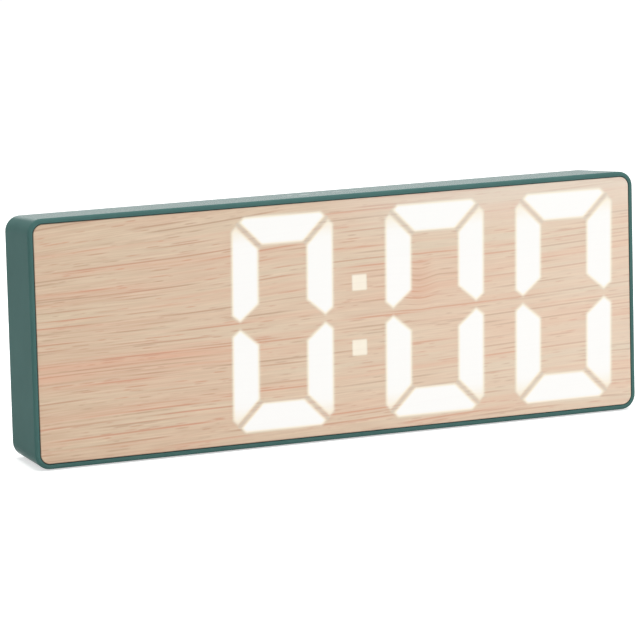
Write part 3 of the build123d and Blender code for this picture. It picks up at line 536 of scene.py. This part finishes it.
def tip_fade(loop, point, level, reach):
    """Less light at the far end of an upright segment."""
    xs, zs = zip(*loop)
    if max(zs) - min(zs) < max(xs) - min(xs):
        return 1.0
    past = max(0.0, abs(point[1] - level) / reach - TIP_START) / (1.0 - TIP_START)
    return 1.0 - TIP_FADE * past * past


def in_painted_halo(point, outlines):
    """Painted grey halo: one between two lit windows that lie close together, and zero elsewhere."""
    for loop in outlines:
        for corner, after in zip(loop, loop[1:] + loop[:1]):
            share = intersect_point_line(point, corner, after)[1]
            spot = Vector(corner).lerp(Vector(after), min(1.0, max(0.0, share)))
            if (Vector(point) - spot).length < HALO_REACH:
                return 1.0
    return 0.0


def lit_windows(windows, level):
    """Outlines that are lit when the clock reads three noughts, each with its brightness and its spread."""
    xs = [middle(loop)[0] for loop in windows]
    digit_pitch = (max(xs) - min(xs)) / DIGIT_COUNT
    dot_area = 2 * min(area(loop) for loop in windows)
    lit = []
    for loop in windows:
        x, z = middle(loop)
        if x > min(xs) + digit_pitch and abs(z - level) > LEVEL_BAND:
            lit.append((loop, DOT_GLOW, DOT_SPREAD) if area(loop) < dot_area else (loop, 1.0, 1.0))
    return lit


def lit_film():
    """Thin closed film whose front carries the outlines of the lit windows and how bright it is at each,
    with a painted grey halo between lit segments and a painted shadow along its left edge.
    """
    outline, *windows = front_loops("front_panel")
    level = sum(middle(loop)[1] for loop in windows) / len(windows)
    reach = max(z - level for loop in windows for x, z in loop)
    count = len(outline)
    # Inner ring of the outline: the width of the painted gap shadow
    points = outline + moved_out(outline, -GAP_SHADOW_WIDTH)
    glows = [0.0] * len(points)
    halo_levels = [0.0] * len(points)
    edges = [(start + i, start + (i + 1) % count) for start in (0, count) for i in range(count)]
    lit = lit_windows(windows, level)
    for window, brightness, spread in lit:
        others = [loop for loop, *_ in lit if loop is not window]
        for distance, glow in GLOW_STEPS:
            ring = divided(cornerless(moved_out(window, distance * spread * MM)))
            start = len(points)
            points += ring
            glows += [glow * brightness * tip_fade(window, point, level, reach) for point in ring]
            # Painted grey halo on the outer ring, where it comes near another lit segment
            halo_levels += [in_painted_halo(point, others) if glow == 0.0 else 0.0 for point in ring]
            edges += [(start + i, start + (i + 1) % len(ring)) for i in range(len(ring))]
    flat, _, faces, origins, _, _ = delaunay_2d_cdt([Vector(p) for p in points], edges, [], 0, MERGE)
    low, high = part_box("wood_film")
    vertices = [(p.x, low.y, p.y) for p in flat]
    rim = [next(i for i, o in enumerate(origins) if step in o) for step in range(count)]
    back = len(vertices)
    vertices += [(x, high.y, z) for x, z in outline]
    faces = [list(face) for face in faces]
    for i in range(count):
        j = (i + 1) % count
        faces.append([rim[j], rim[i], back + i, back + j])
    faces.append([back + i for i in reversed(range(count))])
    mesh = bpy.data.meshes.new("lit_wood_film")
    mesh.from_pydata(vertices, [], faces)
    # Painted shadow in the gap along the film's edge, darkest at the far left and gone past the middle
    far_left = min(x for x, z in outline)
    gap_shadow_levels = [max(0.0, x / far_left) ** GAP_SHADOW_FALL for x, z in outline] + [0.0] * (len(points) - count)
    for name, values in (("glow", glows), ("painted_halo", halo_levels), ("edge", gap_shadow_levels)):
        levels = mesh.attributes.new(name, "FLOAT", "POINT")
        for i, origin in enumerate(origins):
            levels.data[i].value = max((values[o] for o in origin), default=0.0)
    return new_piece("lit_wood_film", mesh)


def new_piece(name, mesh):
    """Object for a mesh, in the scene."""
    mesh.validate()
    piece = bpy.data.objects.new(name, mesh)
    bpy.context.scene.collection.objects.link(piece)
    return piece


def dash_outline():
    """Rounded bar about its middle, as (x, y)."""
    radius = DASH_WIDTH / 2
    straight = DASH_LENGTH / 2 - radius
    points = []
    for side in (1, -1):
        for step in range(DASH_ARC_STEPS + 1):
            turn = math.pi * (step / DASH_ARC_STEPS - 0.5)
            points.append((side * (straight + radius * math.cos(turn)), side * radius * math.sin(turn)))
    return points


def regular(corners, turn):
    """Outline of a sign with equal sides, as (x, y)."""
    turns = [turn + 2 * math.pi * step / corners for step in range(corners)]
    return [(SIGN_RADIUS * math.cos(angle), SIGN_RADIUS * math.sin(angle)) for angle in turns]


def print_on(mesh, node, start, way, across, outline):
    """Adds a thin printed shape to a mesh, where a line first meets a node."""
    _, spot, normal, _ = NODES[node].ray_cast(start, way)
    along = normal.cross(across)
    ring = [spot + px * across + py * along for px, py in outline]
    floor = [mesh.verts.new(p) for p in ring]
    top = [mesh.verts.new(p + normal * PRINT_THICKNESS) for p in ring]
    mesh.faces.new(top)
    mesh.faces.new(floor[::-1])
    for i in range(len(ring)):
        j = (i + 1) % len(ring)
        mesh.faces.new((floor[i], floor[j], top[j], top[i]))


def printed_piece(name, mesh, material, body):
    """Piece for printed shapes, which moves with a body."""
    bmesh.ops.recalc_face_normals(mesh, faces=mesh.faces)
    data = bpy.data.meshes.new(name)
    mesh.to_mesh(data)
    mesh.free()
    piece = new_piece(name, data)
    dress(piece, material)
    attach(piece, body)


def touch_mark(material):
    """Row of printed dashes on the case's top, over the touch strip."""
    low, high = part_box("touch_plate")
    case_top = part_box("case_shell")[1].z
    mesh = bmesh.new()
    for step in range(DASH_COUNT):
        x = (low.x + high.x) / 2 + (step - (DASH_COUNT - 1) / 2) * DASH_PITCH
        y = (low.y + high.y) / 2
        print_on(mesh, "case_shell", (x, y, 2 * case_top), (0, 0, -1), Vector((1, 0, 0)), dash_outline())
    printed_piece("touch_mark", mesh, material, "case")


def button_signs(material):
    """One printed sign on each button's cap."""
    for button, shape in SIGNS.items():
        low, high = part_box(button)
        start = ((low.x + high.x) / 2, 2 * high.y, (low.z + high.z) / 2)
        mesh = bmesh.new()
        print_on(mesh, button, start, (0, -1, 0), Vector((-1, 0, 0)), regular(*shape))
        printed_piece(button + "_sign", mesh, material, button)


def dress(piece, material):
    """Gives a piece one material."""
    piece.data.materials.clear()
    piece.data.materials.append(material)


def dress_nodes():
    """Procedural materials for every node of the model."""
    case = moulded("case_green", srgb(73, 108, 104), 0.15, index=CASE_INDEX, relief=CASE_RELIEF)
    buttons = moulded("button_green", srgb(68, 97, 93), 0.4)
    panel = moulded("panel_dark", srgb(58, 54, 48), 0.55)
    white = moulded("reflector_white", srgb(232, 232, 228), 0.5)
    milky = moulded("diffuser_milky", srgb(238, 238, 232), 0.35)
    diode = moulded("diode_amber", srgb(226, 206, 120), 0.35)
    black = moulded("chip_black", srgb(30, 30, 32), 0.45)
    dark = moulded("switch_dark", srgb(46, 47, 50), 0.5)
    can = metal("can_aluminium", srgb(196, 198, 200), 0.34, along=1)
    steel = metal("screw_steel", srgb(150, 152, 155), 0.32, along=1)
    nickel = metal("bright_nickel", srgb(204, 202, 196), 0.28, along=2)
    brass = metal("strip_brass", srgb(197, 160, 92), 0.32, along=0)
    chosen = {
        case: ("case_shell", "battery_door"),
        buttons: ("set_button", "up_button", "down_button"),
        panel: ("front_panel", "wood_film"),
        white: ("reflector",),
        milky: ("diffuser",),
        diode: ("segment_leds", "colon_leds"),
        black: ("clock_chip", "led_driver", "chip_resistors"),
        dark: ("switch_bodies", "buzzer", "usb_insert", "set_plunger", "up_plunger", "down_plunger"),
        can: ("crystal", "capacitors"),
        steel: ("board_screws",),
        nickel: ("usb_shell", "contact_minus", "contact_left", "contact_right", "contact_plus"),
        brass: ("touch_plate",),
        circuit_board("board_green"): ("main_board",),
        cell_sleeve("cell_sleeve", *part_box("battery_cells")): ("battery_cells",),
        rubber("foot_rubber", srgb(44, 46, 46)): ("left_foot", "right_foot"),
    }
    for material, names in chosen.items():
        for name in names:
            dress(NODES[name], material)


def studio():
    """White floor that keeps the shadow, an even white world and soft lamps."""
    bpy.ops.mesh.primitive_plane_add(size=FLOOR_SIZE, location=(0.0, 0.0, -FLOOR_DROP))
    floor = bpy.context.object
    floor.name = "floor"
    material, tree, shader = new_material("floor_white")
    shader.inputs["Base Color"].default_value = (FLOOR_ALBEDO, FLOOR_ALBEDO, FLOOR_ALBEDO, 1.0)
    shader.inputs["Roughness"].default_value = 1.0
    shader.inputs["Specular IOR Level"].default_value = 0.0
    shader.inputs["Emission Color"].default_value = WHITE
    lift = figured(tree, "MULTIPLY", seen_rays(tree), FLOOR_LIFT)
    link_or_set(tree, shader.inputs["Emission Strength"], lift)
    dress(floor, material)
    world = bpy.data.worlds.new("studio")
    bpy.context.scene.world = world
    world.use_nodes = True
    tree = world.node_tree
    background = tree.nodes["Background"]
    background.inputs["Color"].default_value = WHITE
    level = ranged(tree, seen_rays(tree), 0.0, 1.0, WORLD_LEVEL, 1.0)
    link_or_set(tree, background.inputs["Strength"], level)
    target = (CAD_BOX[0] + CAD_BOX[1]) / 2
    for name, lamp in LAMPS.items():
        data = bpy.data.lights.new(name, "AREA")
        data.energy = lamp["watts"]
        data.size = lamp["size"]
        light = bpy.data.objects.new(name, data)
        light.location = lamp["place"]
        light.rotation_euler = (target - light.location).to_track_quat("-Z", "Y").to_euler()
        bpy.context.scene.collection.objects.link(light)


def seen_rays(tree):
    """One for rays that the camera sees, straight, mirrored or through glass."""
    rays = add(tree, "LightPath").outputs
    mirrored = figured(tree, "MAXIMUM", rays["Is Glossy Ray"], rays["Is Transmission Ray"])
    return figured(tree, "MAXIMUM", rays["Is Camera Ray"], mirrored)


def place_camera():
    """Camera with the photograph's view of the front."""
    turn = (
        Matrix.Rotation(math.radians(CAMERA_YAW), 3, "Y")
        @ Matrix.Rotation(math.radians(CAMERA_PITCH), 3, "X")
        @ Matrix.Rotation(math.radians(CAMERA_ROLL), 3, "Z")
    )
    to_view = turn @ Matrix(((1, 0, 0), (0, 0, -1), (0, 1, 0)))
    low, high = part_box("case_shell")
    front_middle = Vector(((low.x + high.x) / 2, low.y, (low.z + high.z) / 2))
    axes = Matrix((to_view[0], -to_view[1], -to_view[2])).transposed()
    data = bpy.data.cameras.new("camera")
    data.sensor_width = SENSOR_WIDTH
    data.lens = FOCAL_PIXELS * SENSOR_WIDTH / IMAGE_PIXELS
    camera = bpy.data.objects.new("camera", data)
    spot = front_middle - to_view.transposed() @ CAMERA_OFFSET
    camera.matrix_world = Matrix.Translation(spot) @ axes.to_4x4()
    bpy.context.scene.collection.objects.link(camera)
    bpy.context.scene.camera = camera


dress_nodes()
film = lit_film()
dress(film, wood("wood_grain"))
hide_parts("wood_film")
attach(film, "case")
print_white = moulded("print_white", srgb(196, 206, 203), 0.5)
touch_mark(print_white)
button_signs(print_white)
studio()
place_camera()
bpy.context.scene.view_settings.view_transform = "Standard"
